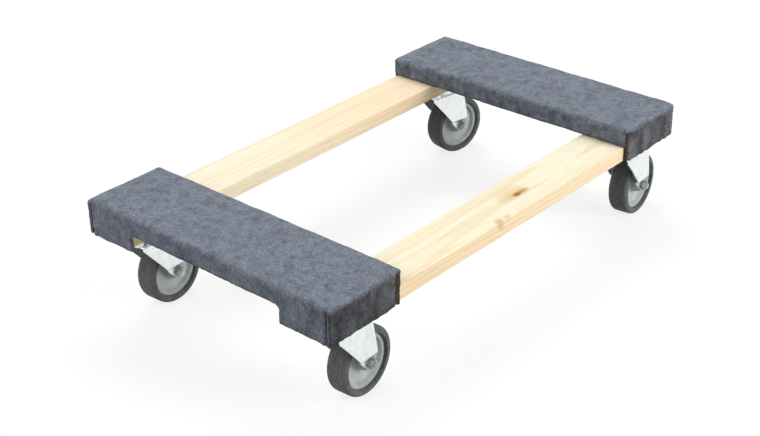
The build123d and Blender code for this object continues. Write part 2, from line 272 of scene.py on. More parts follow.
def heather(tree, place, tangle):
    """Dark fibres deep in the pile and pale ones on top, in soft patches: lighter, darker, bluer, warmer."""
    greys = node(tree, "ValToRGB", {"Fac": tangle}, ramp=[
        (0.44, "#565C67"), (0.53, "#7B828F"), (0.62, "#9098A4"), (0.72, "#B6BDC6")])
    mottle = node(tree, "TexNoise", {"Vector": place, "Scale": per_metre(MOTTLE), "Detail": 4.0,
                                     "Roughness": 0.65})
    shade = node(tree, "ValToRGB", {"Fac": mottle}, ramp=[
        (0.30, "#B4B6BA"), (0.5, "#E0E2E4"), (0.70, "#FBFCFC")])
    fleck = node(tree, "TexNoise", {"Vector": place, "Scale": per_metre(FLECK), "Detail": 1.0})
    hue = node(tree, "ValToRGB", {"Fac": fleck}, ramp=[
        (0.35, "#F8FFFE"), (0.5, "#FFFFFF"), (0.68, "#FFFAFF")])
    colour = node(tree, "Mix", {SHARE: 1.0, UNDER: greys, OVER: shade}, **TINT)
    return node(tree, "Mix", {SHARE: 1.0, UNDER: colour, OVER: hue}, **TINT)


print("heather in patches of", MOTTLE, "mm")

# %% Painted side shade
SHADE_PATCH, SHADE_PATCH_UP = 20.0, 0.4  # mm; patches in the painted side shade, changing slower up and down
FOLD_R = 5.4 * MM  # outside of the bend over a board's edge
TOP, END = cad_box[1].z, cad_box[1].y  # the covers' top face, and the face of their end flaps
SIDE_SHADE_FROM, SIDE_SHADE_FULL = 0.2 * FOLD_R, 1.6 * FOLD_R  # below the top
END_FROM, END_FULL = 4 * MM, 1.5 * MM  # in from the face of the end flaps


def off_middle(tree, place):
    """How far a place is from the line along the middle of the deck."""
    across = node(tree, "SeparateXYZ", {"Vector": place}, out="Y")
    return node(tree, "Math", {0: across}, operation="ABSOLUTE")


def painted_side_shade(tree, place):
    """Painted shade: darker down the sides below the fold, most of all on the end flaps, and less on those at
    the back.
    """
    height = node(tree, "SeparateXYZ", {"Vector": place}, out="Z")
    shades = node(tree, "MapRange", {"Value": height, "From Min": TOP - SIDE_SHADE_FULL, "From Max": TOP - SIDE_SHADE_FROM,
                                    "To Min": 1.0, "To Max": 0.0})
    across = off_middle(tree, place)
    at_end = node(tree, "MapRange", {"Value": across, "From Min": END - END_FROM, "From Max": END - END_FULL})
    upright = node(tree, "Mapping", {"Vector": place, "Scale": (1, 1, SHADE_PATCH_UP)})
    shade_patches = node(tree, "TexNoise", {"Vector": upright, "Scale": per_metre(SHADE_PATCH), "Detail": 2.0})
    long_side_shade = node(tree, "ValToRGB", {"Fac": shade_patches}, ramp=[
        (0.35, "#D4D1D3"), (0.5, "#F3F1F2"), (0.62, "#FFFFFF")])
    front_end = node(tree, "ValToRGB", {"Fac": shade_patches}, ramp=[
        (0.35, "#827B75"), (0.5, "#A29A93"), (0.65, "#C2BAB1")])
    # the painted shade is lighter on the flaps at the back
    back_end = node(tree, "ValToRGB", {"Fac": shade_patches}, ramp=[
        (0.35, "#978D85"), (0.5, "#BBB1A7"), (0.65, "#E0D4C8")])
    along = node(tree, "SeparateXYZ", {"Vector": place}, out="X")
    is_back = node(tree, "MapRange", {"Value": along, "From Min": -MM, "From Max": MM})
    end_shade = node(tree, "Mix", {SHARE: is_back, UNDER: front_end, OVER: back_end}, **BLEND)
    side_shade = node(tree, "Mix", {SHARE: at_end, UNDER: long_side_shade, OVER: end_shade}, **BLEND)
    return node(tree, "Mix", {SHARE: shades, UNDER: (1, 1, 1, 1), OVER: side_shade}, **BLEND)


# the painted side shade begins this far below the top
print("nap hangs from", round((TOP - SIDE_SHADE_FROM) / MM, 1), "mm down")

# %% Carpet pile
def carpet_pile():
    """Felted fibres: no gloss, a heather of greys, painted shade down the sides and in the seams and hems, and
    a faint sheen where the fibre tips catch the light.
    """
    material, tree = finish("needle-punched polyester carpet, grey heather")
    place = node(tree, "TexCoord", out="Object")
    tangle = felted_fibres(tree, place)
    colour = heather(tree, place, tangle)
    # painted shade: darker down the sides, most of all on the end flaps
    colour = node(tree, "Mix", {SHARE: 1.0, UNDER: colour, OVER: painted_side_shade(tree, place)}, **TINT)
    # painted shade along the hems and in the seams
    shade_and_grime = node(tree, "Attribute", attribute_name="shade_and_grime", out="Fac")
    colour = node(tree, "Mix", {SHARE: shade_and_grime, UNDER: colour, OVER: linear("#37332F")}, **BLEND)
    fuzz = node(tree, "Bump", {"Height": tangle, "Strength": 0.9, "Distance": 1.2 * MM})
    surface = node(tree, "BsdfPrincipled", {"Base Color": colour, "Roughness": 0.95, "Normal": fuzz,
                                            "Specular IOR Level": 0.15, "Sheen Weight": 0.12,
                                            "Sheen Roughness": 0.5})
    node(tree, "OutputMaterial", {"Surface": surface})
    return material


pile = carpet_pile()
print("made", pile.name)

# %% [markdown]
# ## Cut edge
# Where the knife went through, the carpet shows its brown latex backing with the dark ends of fibres in it.
# A plain brown would read as tape, so a fine noise breaks it up, in colour and in bump.

# %% Carpet cut edge
FIBRE_END = 1.6  # mm; bunches of fibre ends, drawn coarse to show


def carpet_edge():
    """Latex and fibre ends: dark, dry and rough, a broken brown line along every cut."""
    material, tree = finish("carpet cut edge, fibre ends and latex backing")
    place = node(tree, "TexCoord", out="Object")
    ends = node(tree, "TexNoise", {"Vector": place, "Scale": per_metre(FIBRE_END), "Detail": 3.0})
    colour = node(tree, "ValToRGB", {"Fac": ends}, ramp=[
        (0.35, "#2C2621"), (0.55, "#4F453C"), (0.7, "#6A5D51")])
    rough = node(tree, "Bump", {"Height": ends, "Strength": 0.7, "Distance": 0.8 * MM})
    surface = node(tree, "BsdfPrincipled", {"Base Color": colour, "Roughness": 0.95, "Normal": rough,
                                            "Specular IOR Level": 0.1})
    node(tree, "OutputMaterial", {"Surface": surface})
    return material


edge = carpet_edge()
print("made", edge.name)

# %% [markdown]
# ## Carpet covers
# A cover is one piece of carpet laid over an end board, folded down all round and stapled. It could be a
# simulated cloth, but carpet this stiff is pulled flat, and only its bends and seams are soft. So it is made
# as on the bench: a blank is folded, its flaps are cut, and then it gets its thickness. A script has no
# mouse to select with, so helpers that pick faces and edges by their place come first.

# %% Pick by place
def pick(kind, test):
    """Select only the vertices, edges or faces that pass a test, in edit mode, and say how many."""
    bpy.ops.mesh.select_mode(type=kind)
    bpy.ops.mesh.select_all(action="DESELECT")
    mesh = bmesh.from_edit_mesh(bpy.context.object.data)
    items = {"VERT": mesh.verts, "EDGE": mesh.edges, "FACE": mesh.faces}[kind]
    found = [item for item in items if test(item)]
    for item in found:
        item.select_set(True)
    bmesh.update_edit_mesh(bpy.context.object.data)
    return len(found)


def middle(item):
    """The middle of an edge or a face."""
    return sum((v.co for v in item.verts), Vector()) / len(item.verts)


def runs_along(edge, axis):
    """Whether an edge is straight along an axis, 0 to 2."""
    way = edge.verts[1].co - edge.verts[0].co
    return abs(way[axis]) > 0.999 * way.length


low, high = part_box("front_carpet")
print("the front cover fills", [round(x / MM, 1) for x in high - low], "mm")

# %% [markdown]
# ## Fold the blank
# The real blank is folded over four edges of its board, and its corners are butted, not sewn. A box without
# a floor has just those folds. A bevel on its top edges gives the bend the carpet's own radius, and a much
# smaller one on the upright edges leaves them crisp, as butted corners are.

# %% Lay the blank over the board
bpy.ops.object.select_all(action="DESELECT")
bpy.ops.mesh.primitive_cube_add(size=1, location=(low + high) / 2, scale=high - low)
cover = bpy.context.object
cover.name = "front_cover"
bpy.ops.object.transform_apply(location=True, rotation=True, scale=True)
bpy.ops.object.mode_set(mode="EDIT")
pick("FACE", lambda f: f.normal.z < -0.5)
bpy.ops.mesh.delete(type="ONLY_FACE")
print("a box with", len(bmesh.from_edit_mesh(cover.data).faces), "faces, open below")

# %% Round the folds and corners
CORNER_R = 1.6 * MM
TOUCH = 0.01 * MM  # as good as touching


def off_corner(point):
    """How far a point is from the nearest end face less how far from the nearest long face."""
    return abs(min(point.x - low.x, high.x - point.x) - min(point.y - low.y, high.y - point.y))


def is_corner(edge):
    """Whether an edge runs down an upright corner or round the bend above it."""
    on_corner = all(off_corner(v.co) < TOUCH for v in edge.verts)
    return on_corner and not runs_along(edge, 0) and not runs_along(edge, 1)


folds = pick("EDGE", lambda e: middle(e).z > high.z - MM)
bpy.ops.mesh.bevel(offset=FOLD_R, segments=6, profile=0.5, affect="EDGES")
corners = pick("EDGE", is_corner)
bpy.ops.mesh.bevel(offset=CORNER_R, segments=2, profile=0.5, affect="EDGES")
print(folds, "folds and", corners, "corner edges rounded")

# %% [markdown]
# ## Divide it finely enough for the pile
# Carpet has a lumpy outline, and a bump in the finish can't give one, so the mesh itself needs a point
# every few fibres. Subdividing all edges alike would give long thin faces on the long sides. So edges of
# like length get like numbers of cuts, and the faces come out nearly square. Planes along the later hems
# cut the box first, so that the flaps can then be cut along clean lines.

# %% Divide the cover
PITCH, ALIKE = 1.7 * MM, 30 * MM  # of the points, and by how much like lengths may differ
HEM, INNER_HEM = 162.0 * MM, 160.3 * MM  # cut edge in the hand gap, and on the inner face just above the rails
NOTCH, NOTCH_R = 142.1 * MM, 9.0 * MM  # half width of the hand gap, and the round of its corners


def cuts_for(edge):
    """How often an edge is cut to bring it to the pitch: edges of like length alike, so that the cuts meet."""
    return round(round(edge.calc_length() / ALIKE) * ALIKE / PITCH) - 1


for place, normal in (((0, 0, HEM), (0, 0, 1)), ((0, 0, INNER_HEM), (0, 0, 1)),
                      ((0, NOTCH, 0), (0, 1, 0)), ((0, -NOTCH, 0), (0, 1, 0))):
    bpy.ops.mesh.select_all(action="SELECT")
    bpy.ops.mesh.bisect(plane_co=place, plane_no=normal)
for axis in range(3):
    mesh = bmesh.from_edit_mesh(cover.data)
    for cuts in sorted({cuts_for(e) for e in mesh.edges if runs_along(e, axis) and cuts_for(e) > 0}):
        pick("EDGE", lambda e: runs_along(e, axis) and cuts_for(e) == cuts)
        bpy.ops.mesh.subdivide(number_cuts=cuts)
print(len(bmesh.from_edit_mesh(cover.data).faces), "faces at a pitch of", PITCH / MM, "mm")

# %% [markdown]
# ## Cut the flaps
# On the outer side the carpet is cut away between the rails, which leaves a gap for a hand under the board,
# and on the inner side it ends just above them. A boolean with a block would also cut it, but leaves odd
# faces along a fine grid. Deleting the faces in the gap keeps the grid, and smoothing the points of the
# cut takes the steps out of its rounded corners.

# %% Cut the hand gap and the inner hem
HAIR = 0.1 * MM  # nearer than this to a face counts as on it
GAP_CORNER = 1.2 * NOTCH_R  # how far a corner's smoothing reaches


def in_hand_gap(point):
    """Whether a point of the outer long face lies in the gap between the flaps."""
    y, z = NOTCH - abs(point.y), HEM - point.z
    if y < 0 or z < 0:
        return False
    return y > NOTCH_R or z > NOTCH_R or math.hypot(NOTCH_R - y, NOTCH_R - z) < NOTCH_R


def at_gap_corner(vertex):
    """Whether a vertex is on the cut edge, in a rounded corner of the hand gap."""
    near = max(abs(NOTCH - abs(vertex.co.y)), abs(HEM - vertex.co.z)) < GAP_CORNER
    return vertex.is_boundary and near and vertex.co.x < low.x + MM


cut = pick("FACE", lambda f: middle(f).x < low.x + HAIR and in_hand_gap(middle(f)))
bpy.ops.mesh.delete(type="FACE")
cut += pick("FACE", lambda f: middle(f).x > high.x - CORNER_R and middle(f).z < INNER_HEM)
bpy.ops.mesh.delete(type="FACE")
rounded = pick("VERT", at_gap_corner)
bpy.ops.mesh.vertices_smooth(factor=0.5, repeat=6)
print(cut, "faces cut away,", rounded, "points of the cut smoothed")

# %% Bare the butted edges
SEAM, BACKING_AND_SHADE = 6.8 * MM, 8.5 * MM  # butted edges, in from the upright corners: at the front, and at the ends a band of backing that also paints the shade beside the cut
BARE = 1.7 * MM  # half the width of backing that a seam shows
BARE_FROM = 0.7 * FOLD_R  # below the top
PILE_SLOT, EDGE_SLOT = 0, 1  # the cover's two material slots


def shows_backing_and_shade(face):
    """Whether a face shows the cut edge of a flap that butts on its neighbour; at the ends the band is wider
    than the cut, as painted shade.
    """
    at = middle(face)
    at_front = at.x < low.x + HAIR and abs(high.y - SEAM - abs(at.y)) < BARE
    at_end = abs(at.y) > high.y - CORNER_R and at.x > high.x - BACKING_AND_SHADE
    return at.z < high.z - BARE_FROM and (at_front or at_end)


# the seams show the backing, and at the ends its band also stands for painted shade
butted = pick("FACE", shows_backing_and_shade)
cover.data.materials.append(pile)
cover.data.materials.append(edge)
cover.active_material_index = EDGE_SLOT
bpy.ops.object.material_slot_assign()
bpy.ops.mesh.select_all(action="SELECT")
bpy.ops.mesh.normals_make_consistent(inside=False)
bpy.ops.object.mode_set(mode="OBJECT")
print(butted, "faces show a butted edge")

# %% [markdown]
# ## Give it thickness
# The carpet is about five millimetres thick and shows that at its hems. The sheet could be extruded, but the
# Solidify modifier does it evenly round the bends, leaves the outside where the CAD says, and gives the
# rim and the inside the second finish. Beside the hand gap the pile bushes out over that rim, so those few
# faces get the first one back.

# %% Give it thickness
CARPET_T = 5.2 * MM
outside = len(cover.data.vertices)
cloth = cover.modifiers.new("thickness", "SOLIDIFY")
cloth.thickness, cloth.offset, cloth.use_even_offset = CARPET_T, -1, True
cloth.material_offset_rim, cloth.material_offset = EDGE_SLOT, EDGE_SLOT
bpy.ops.object.modifier_apply(modifier=cloth.name)
print(outside, "vertices outside,", len(cover.data.polygons), "faces in all")

# %% Pile on the flaps' ends
SIDEWAYS = 0.3  # least share of its normal that a face turns to the side


def is_flap_end(face):
    """Whether a face is on the upright cut beside the hand gap, where the pile bushes out over the backing."""
    at = middle(face)
    beside_gap = at.x < low.x + CARPET_T and abs(at.y) < NOTCH + MM and at.z < HEM
    return face.material_index == EDGE_SLOT and beside_gap and abs(face.normal.y) > SIDEWAYS


bpy.ops.object.mode_set(mode="EDIT")
bushy = pick("FACE", is_flap_end)
cover.active_material_index = PILE_SLOT
bpy.ops.object.material_slot_assign()
bpy.ops.object.mode_set(mode="OBJECT")
print(bushy, "faces of the flaps' ends given the pile")

# %% [markdown]
# ## Seams, hems and tufts
# Seams pull the carpet in, hems roll under, loose flaps ripple, and the pile stands up in tufts. All that
# could be sculpted by hand. Here each is a Displace modifier with a vertex group that says where it acts,
# so every mark has its depth in millimetres and sits where it does on the real cover.

# %% Press the outside in or out
def press(name, depth_mm, weight, clouds_mm=None):
    """Push the outside of the cover in by a weight of its place, through cloudy noise if a size is given."""
    group = cover.vertex_groups.new(name=name)
    for vertex in cover.data.vertices[:outside]:
        group.add([vertex.index], weight(vertex.co), "REPLACE")
    push = cover.modifiers.new(name, "DISPLACE")
    push.vertex_group, push.strength, push.mid_level = name, -depth_mm * MM, 0.0
    if clouds_mm:
        push.texture = bpy.data.textures.new(name, "CLOUDS")
        push.texture.noise_scale, push.texture.noise_depth = clouds_mm * MM, 1
        push.texture_coords, push.mid_level = "LOCAL", 0.5
    bpy.context.view_layer.objects.active = cover
    bpy.ops.object.modifier_apply(modifier=name)
    print(name, "pressed in by", depth_mm, "mm")


def everywhere(point):
    """The same weight all over."""
    return 1.0


def dip(distance, width):
    """A soft dip: 1 at no distance, 0 from a width on."""
    return max(0.0, 1 - (distance / width) ** 2) ** 2


print("a dip is", dip(0, 1), "in the middle and", round(dip(0.5, 1), 2), "half way out")

# %% Seams and ridges
SEAM_WIDE, BACKING_WIDE = 3 * MM, 2.5 * MM
BACKING_SHARE = 0.5  # depth at the ends, where flaps butt less tightly
RIDGE, RIDGE_WIDE = 5 * MM, 4 * MM  # from the seam to the flap's raised edge, and its width
FOLD_TOP = 0.5 * FOLD_R  # below the top, where seams begin


def below_fold(point):
    """0 at the top of the fold, 1 from its foot down."""
    return min(1.0, max(0.0, (high.z - FOLD_TOP - point.z) / FOLD_R))


def seam(point):
    """The groove where two flaps butt: at the front near the corners, and fainter at the ends."""
    front = dip(abs(abs(point.y) - (high.y - SEAM)), SEAM_WIDE) if point.x < low.x + MM else 0
    side = dip(abs(point.x - (high.x - BACKING_AND_SHADE)), BACKING_WIDE) if abs(point.y) > high.y - MM else 0
    return max(front, BACKING_SHARE * side) * below_fold(point)


def ridge(point):
    """The edge of the outer flap stands up a little beside its seam."""
    if point.x > low.x + MM:
        return 0
    return dip(abs(abs(point.y) - (high.y - SEAM - RIDGE)), RIDGE_WIDE) * below_fold(point)


print("seams", SEAM / MM, "mm in from the front corners and", BACKING_AND_SHADE / MM, "mm in from the inner ones")

# %% Hems and pleats
NEAR, ROLL_IN = 2 * MM, 4.5 * MM  # how near a face counts as on it, and how far up a hem is rolled
PLEAT, SWAY = 270, 103  # waves in radians a metre: about 23 mm a pleat, drifting every 61 mm
SWAY_BY = 1.6  # radians of a pleat
PLEAT_FADES = 12 * MM  # below the fold, where the flap comes loose


def hem(point):
    """The last few millimetres before a cut edge."""
    reach = 1.0
    if point.x > high.x - NEAR:
        reach = point.z - INNER_HEM
    elif point.x < low.x + NEAR and abs(point.y) < NOTCH - NOTCH_R:
        reach = point.z - HEM
    elif point.x < low.x + NEAR or abs(point.y) > high.y - NEAR:
        reach = point.z - low.z
    return max(0.0, 1 - reach / ROLL_IN) ** 2


def pleats(point):
    """Upright ripples of the end flaps, which are only held along their lower edge."""
    if abs(point.y) < high.y - 2 * NEAR:
        return 0
    wave = math.sin(point.x * PLEAT + SWAY_BY * math.sin(point.x * SWAY)) * 0.5 + 0.5
    return wave * min(1.0, max(0.0, (high.z - FOLD_R - point.z) / PLEAT_FADES))


print("hems roll over", ROLL_IN / MM, "mm, pleats are", round(2 * math.pi / PLEAT / MM), "mm wide")

# %% Shape the pile
HEM_SHADE, SEAM_SHADE = 0.85, 0.6  # how far the painted shade darkens the hems and the seams
SMOOTH = math.radians(60)  # bends sharper than this stay edges


def mark(name, weight):
    """Keep a weight of the place of each point outside as an attribute, for the carpet's finish to read."""
    values = [weight(vertex.co) if vertex.index < outside else 0.0 for vertex in cover.data.vertices]
    cover.data.attributes.new(name, "FLOAT", "POINT").data.foreach_set("value", values)


# painted shade: darker along the hems and in the seams
mark("shade_and_grime", lambda point: max(HEM_SHADE * hem(point), SEAM_SHADE * seam(point)))
press("seams", 3.0, seam)
press("ridges", -0.9, ridge)
press("rolled edges", 0.3, hem)
press("pleats", 0.9, pleats)
press("nap", -0.8, everywhere)
press("lumps", 1.6, everywhere, clouds_mm=32.0)
press("tufts", 1.0, everywhere, clouds_mm=4.0)
bpy.ops.object.select_all(action="DESELECT")
cover.select_set(True)
bpy.ops.object.shade_smooth_by_angle(angle=SMOOTH)
print("cover now", [round(x / MM, 1) for x in cover.dimensions], "mm")

# %% [markdown]
# ## Staples
# The staples are CAD pieces already. What the carpet needs is the dimple that each of them pulls, with the
# crown lying in it. So the rule that spaced them is repeated here, near each corner and then evenly along
# the hem, and their dimples are pressed in like the seams.

# %% Staple places
STAPLE_END, STAPLE_PITCH, STAPLE_RISE = 14.0 * MM, 55.0 * MM, 7.0 * MM
FACES_X, FACES_Y = 0, 1  # which way a stapled face looks


def spaced(start, stop):
    """Even staple places along an edge."""
    length = stop - start - 2 * STAPLE_END
    steps = math.ceil(length / STAPLE_PITCH)
    return [start + STAPLE_END + length * i / steps for i in range(steps + 1)]


upper, lower = HEM + STAPLE_RISE, low.z + STAPLE_RISE
staples = [(FACES_X, low.x, y, upper) for y in spaced(-NOTCH, NOTCH)]
staples += [(FACES_X, high.x, y, upper) for y in spaced(low.y, high.y)]
for side in (-1, 1):
    staples += [(FACES_X, low.x, side * y, lower) for y in spaced(NOTCH, high.y)]
    staples += [(FACES_Y, x, side * high.y, lower) for x in spaced(low.x, high.x)]
print(len(staples), "staples on a cover")

# %% Pull the staples in
STAPLE_HALF, DIMPLE = 5.5 * MM, 5.5 * MM  # half a crown's length, and how far round it the carpet is pulled
ON_FACE, BESIDE, BEYOND = 3 * MM, 12 * MM, 6 * MM  # points further off are passed over: out, along and up


def stapled(point):
    """The dimple round each staple's crown, longer along the edge than across it."""
    deepest = 0
    for face, x, y, z in staples:
        along, out = (point.y - y, point.x - x) if face == FACES_X else (point.x - x, point.y - y)
        if abs(out) < ON_FACE and abs(along) < BESIDE and abs(point.z - z) < BEYOND:
            reach = math.hypot(max(0.0, abs(along) - STAPLE_HALF), point.z - z)
            deepest = max(deepest, dip(reach, DIMPLE))
    return deepest


press("staples", 1.4, stapled)

# %% [markdown]
# ## The second cover
# Both covers are cut from one pattern and look away from each other. So the back one is a copy with its own
# mesh, turned half round about the middle of the deck; a mirror would do too, but it would turn the faces
# inside out. Both ride on the frame and stand for the plain CAD solids.

# %% Copy the cover to the back
back_cover = cover.copy()
back_cover.data = cover.data.copy()
back_cover.name = "back_cover"
bpy.context.collection.objects.link(back_cover)
bpy.ops.object.select_all(action="DESELECT")
back_cover.select_set(True)
bpy.context.view_layer.objects.active = back_cover
back_cover.rotation_euler.z = math.pi
bpy.ops.object.transform_apply(location=True, rotation=True, scale=True)
for piece, end in ((cover, "front"), (back_cover, "back")):
    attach(piece, "frame")
    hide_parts(end + "_carpet")
print("two covers of", len(cover.data.polygons), "faces")

# %% [markdown]
# ## Timber
# Rails and end boards are planed softwood, cream on the face and tanner on the edge, with growth rings that
# show as long faint lines, fine fibres and a knot or two. Wood can be painted as stripes, but a board is
# a slice of a trunk. So here the rings are circles round a pith under the board, bent a little along its
# length, and the faces simply cut them.

# %% Growth rings
RING, WANDER = 6.0, 45.0  # mm; one year's growth, and how fast the grain drifts across a board
DRIFT = 30.0 * MM  # how far it drifts
ALONG = 0.06  # the grain changes this much slower along a board


def bent_grain(tree, place):
    """Places in the trunk, drifting slowly to and fro along the board."""
    drawn = node(tree, "Mapping", {"Vector": place, "Scale": (ALONG, 1, 1)})
    wander = node(tree, "TexNoise", {"Vector": drawn, "Scale": per_metre(WANDER), "Detail": 2.0}, out="Color")
    wander = node(tree, "VectorMath", {0: wander, 1: (0.5, 0.5, 0.5)}, operation="SUBTRACT")
    wander = node(tree, "VectorMath", {0: wander, "Scale": DRIFT}, operation="SCALE")
    return node(tree, "VectorMath", {0: place, 1: wander}, operation="ADD")


def growth_rings(tree, grain, pith):
    """Pale early wood that ends in a thin, tanner line of late wood, ring after ring round the pith."""
    flat = node(tree, "Mapping", {"Vector": grain, "Location": (0, -pith[0], -pith[1]), "Scale": (0, 1, 1)})
    radius = node(tree, "VectorMath", {0: flat}, operation="LENGTH", out="Value")
    ring = node(tree, "Math", {0: radius, 1: per_metre(RING)}, operation="MULTIPLY")
    ring = node(tree, "Math", {0: ring}, operation="FRACT")
    return node(tree, "ValToRGB", {"Fac": ring}, ramp=[
        (0.0, "#FDF4DA"), (0.6, "#FBF0D3"), (0.92, "#F7E5C3"), (1.0, "#FBEFD1")])


print("rings of", RING, "mm that drift by up to", DRIFT / MM / 2, "mm")

# %% Knots
RAIL_LOW, RAIL_HIGH = 135.5 * MM, 159.3 * MM
KNOT_DEEP = 3  # times as deep as wide, as a branch runs inwards
KNOTS = (  # middle along and across, size along and across in mm, heart and halo
    (38.0, -185.0, 40.0, 22.0, "#EDDDC0", "#F6ECD9"),
    (54.0, -189.6, 17.0, 9.0, "#C9B085", "#E6D5B5"),
    (41.2, -191.2, 10.0, 8.5, "#9A7F55", "#C8B085"),
    (-42.0, -222.5, 11.0, 8.0, "#D8CDB8", "#E9E0D0"),
    (-24.0, -222.5, 9.0, 5.0, "#E4DAC6", "#F1EADC"))


def knotted(tree, grain, colour, knot):
    """A branch cut across: a brown heart in a paler halo, drawn out along the board."""
    x, y, length, width, heart, halo = knot
    spread = node(tree, "Mapping", {"Vector": grain, "Location": (x * MM, y * MM, RAIL_HIGH),
                                    "Scale": (length * MM, width * MM, KNOT_DEEP * width * MM)},
                  vector_type="TEXTURE")
    spread = node(tree, "VectorMath", {0: spread}, operation="LENGTH", out="Value")
    shade = node(tree, "ValToRGB", {"Fac": spread}, ramp=[(0.15, heart), (0.55, halo), (1.0, "#FFFFFF")])
    return node(tree, "Mix", {SHARE: 1.0, UNDER: colour, OVER: shade}, **TINT)


print(len(KNOTS), "knots and pin knots on the right rail")

# %% Sides of a rail
RAIL_OUTSIDE, RAIL_INSIDE = 223.5 * MM, 147.3 * MM
SIDE_FROM, SIDE_FULL = 2.5 * MM, 0.5 * MM  # below the surface


def rail_sides(tree, place, colour):
    """A rail's sides cut the rings the other way, and so are a little tanner than its faces."""
    across = off_middle(tree, place)
    outer = node(tree, "MapRange", {"Value": across, "From Min": RAIL_OUTSIDE - SIDE_FROM,
                                    "From Max": RAIL_OUTSIDE - SIDE_FULL})
    inner = node(tree, "MapRange", {"Value": across, "From Min": RAIL_INSIDE + SIDE_FROM,
                                    "From Max": RAIL_INSIDE + SIDE_FULL})
    tan = node(tree, "Mix", {SHARE: outer, UNDER: (1, 1, 1, 1), OVER: linear("#FBEDE2")}, **BLEND)
    tan = node(tree, "Mix", {SHARE: inner, UNDER: tan, OVER: linear("#FFFCF8")}, **BLEND)
    return node(tree, "Mix", {SHARE: 1.0, UNDER: colour, OVER: tan}, **TINT)


print("sides", round((RAIL_OUTSIDE - RAIL_INSIDE) / MM, 1), "mm apart")

# %% Worn arrises
RUBBED = 30.0  # mm; length of a rubbed stretch
ARRIS = 3 * MM  # how far from the edge it shows
RUBBED_BY = 0.5  # share of the darker tone where it is rubbed most


def worn_arrises(tree, place, colour):
    """The arrises are rubbed darker here and there, where hands and loads pass."""
    half_y, half_z = (RAIL_OUTSIDE - RAIL_INSIDE) / 2, (RAIL_HIGH - RAIL_LOW) / 2
    across = off_middle(tree, place)
    height = node(tree, "SeparateXYZ", {"Vector": place}, out="Z")
    off_y = node(tree, "Math", {0: across, 1: RAIL_INSIDE + half_y}, operation="SUBTRACT")
    off_z = node(tree, "Math", {0: height, 1: RAIL_LOW + half_z}, operation="SUBTRACT")
    off_y = node(tree, "Math", {0: off_y}, operation="ABSOLUTE")
    off_z = node(tree, "Math", {0: off_z}, operation="ABSOLUTE")
    both = node(tree, "Math", {0: off_y, 1: off_z}, operation="ADD")
    arris = node(tree, "MapRange", {"Value": both, "From Min": half_y + half_z - ARRIS,
                                    "From Max": half_y + half_z - SIDE_FULL})
    rubbed = node(tree, "TexNoise", {"Vector": place, "Scale": per_metre(RUBBED), "Detail": 3.0})
    rubbed = node(tree, "MapRange", {"Value": rubbed, "From Min": 0.45, "From Max": 0.7, "To Max": RUBBED_BY})
    worn = node(tree, "Math", {0: arris, 1: rubbed}, operation="MULTIPLY")
    return node(tree, "Mix", {SHARE: worn, UNDER: colour, OVER: linear("#CDB893")}, **BLEND)


print("arrises worn in stretches of", RUBBED, "mm")

# %% Planed pine
FIBRE, FIBRE_ALONG = 0.9, 0.02  # mm across the grain, and how much slower it changes along it
STREAKS = 0.8  # share of the fibres' streaks in the colour
TONE_FROM, TONE_TO = -0.1, 0.15  # metres along a rail, from its near tone to its far one


def planed_pine(name, pith, near="#FFFFFF", far="#FFFFFF", quarter_turn=0, knots=()):
    """Planed wood is matt and pale: slanting rings give broad bands on the face and close lines on the edge."""
    material, tree = finish(name)
    place = node(tree, "TexCoord", out="Object")
    place = node(tree, "Mapping", {"Vector": place, "Rotation": (0, 0, math.radians(90 * quarter_turn))})
    grain = bent_grain(tree, place)
    combed = node(tree, "Mapping", {"Vector": place, "Scale": (FIBRE_ALONG, 1, 1)})
    fibre = node(tree, "TexNoise", {"Vector": combed, "Scale": per_metre(FIBRE), "Detail": 3.0,
                                    "Roughness": 0.7})
    streak = node(tree, "ValToRGB", {"Fac": fibre}, ramp=[
        (0.35, "#F3E8D6"), (0.5, "#FFFFFF"), (0.65, "#FFFFFF")])
    colour = node(tree, "Mix", {SHARE: STREAKS, UNDER: growth_rings(tree, grain, pith), OVER: streak}, **TINT)
    if near != far:
        along = node(tree, "SeparateXYZ", {"Vector": place}, out="X")
        along = node(tree, "MapRange", {"Value": along, "From Min": TONE_FROM, "From Max": TONE_TO})
        tone = node(tree, "Mix", {SHARE: along, UNDER: linear(near), OVER: linear(far)}, **BLEND)
        colour = node(tree, "Mix", {SHARE: 1.0, UNDER: colour, OVER: tone}, **TINT)
    for knot in knots:
        colour = knotted(tree, grain, colour, knot)
    if not quarter_turn:
        colour = worn_arrises(tree, place, rail_sides(tree, place, colour))
    rough = node(tree, "MapRange", {"Value": fibre, "To Min": 0.48, "To Max": 0.66})
    raised = node(tree, "Bump", {"Height": fibre, "Strength": 0.15, "Distance": 0.2 * MM})
    surface = node(tree, "BsdfPrincipled", {"Base Color": colour, "Roughness": rough, "Normal": raised,
                                            "Specular IOR Level": 0.3})
    node(tree, "OutputMaterial", {"Surface": surface})
    return material


right_pine = planed_pine("planed pine, right rail", (-0.19, 0.07), "#FBFDFC", "#FAFDFF", knots=KNOTS)
left_pine = planed_pine("planed pine, left rail", (0.26, 0.02), "#FBFCFE", "#FBF3EC")
board_pine = planed_pine("planed pine, end boards", (0.30, 0.10), quarter_turn=1)
print("made", right_pine.name, "and", left_pine.name, "and", board_pine.name)

# %% [markdown]
# ## Zinc plate
# The casters' plates and forks are pressed from sheet steel and plated bright with zinc, which mirrors the
# white room softly. One even roughness would look like grey paint. A plated sheet is never quite evenly
# bright, so a slow cloud moves both its colour and its roughness, and each fork gets painted shade round its
# axle, where its leg steps in under the wing. That shade needs the wheel's own frame, which the wheels use
# again below.

# %% A wheel's own frame
CASTERS = ("front_right", "front_left", "back_left", "back_right")


